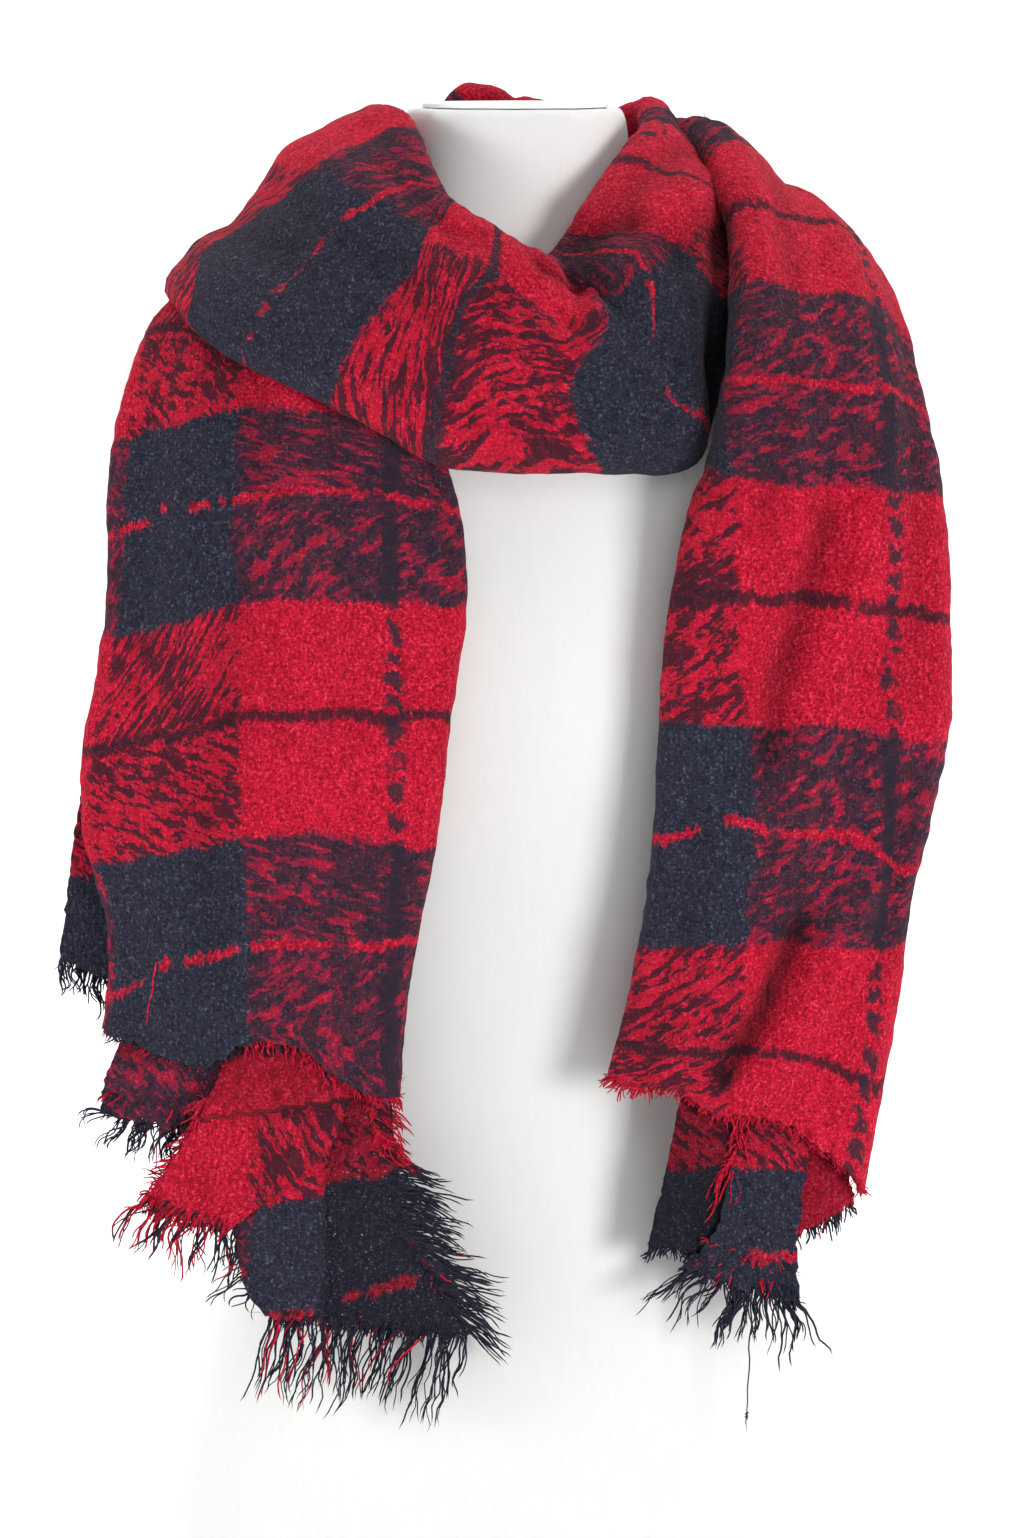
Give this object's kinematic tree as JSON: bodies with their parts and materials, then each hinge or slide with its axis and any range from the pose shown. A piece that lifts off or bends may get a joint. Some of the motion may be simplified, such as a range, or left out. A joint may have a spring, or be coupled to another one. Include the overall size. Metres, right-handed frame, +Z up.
{
  "type": "blanket scarf on a dress form",
  "caption": "Plaid brushed-wool blanket scarf, folded lengthwise and wound once round the neck of a white limbless dress form, both frayed ends hanging in front.",
  "frame": {"origin": "middle of the dress form's flat base, which stands on the floor", "axes": "+Z up, -Y the front of the form, +X to the right as seen from the front"},
  "size_m": [0.4436, 0.2686, 0.8495],
  "materials": {
    "form_linen": "white linen cover, matte",
    "cap_plastic": "white, matte",
    "red_wool": "brushed wool, red and navy plaid",
    "navy_yarn": "frayed navy and red yarn"
  },
  "bodies": {
    "root": {"dress_form": "form_linen", "neck_cap": "cap_plastic", "left_tail": "red_wool", "neck_inner": "red_wool", "cowl": "red_wool", "neck_outer": "red_wool", "right_tail": "red_wool", "left_layer_red": "red_wool", "left_layer_long": "red_wool", "left_layer_side": "red_wool", "left_flap": "red_wool", "right_layer_mid": "red_wool", "right_layer_back": "red_wool", "right_layer_inner": "red_wool", "fringe_flap": "navy_yarn", "fringe_side": "navy_yarn", "fringe_red": "navy_yarn", "fringe_long": "navy_yarn", "fringe_long_side": "navy_yarn", "fringe_long_left": "navy_yarn", "fringe_red_side": "navy_yarn", "fringe_front": "navy_yarn", "fringe_back": "navy_yarn", "fringe_mid": "navy_yarn", "fringe_mid_side": "navy_yarn", "fringe_inner": "navy_yarn"}
  },
  "joints": []
}
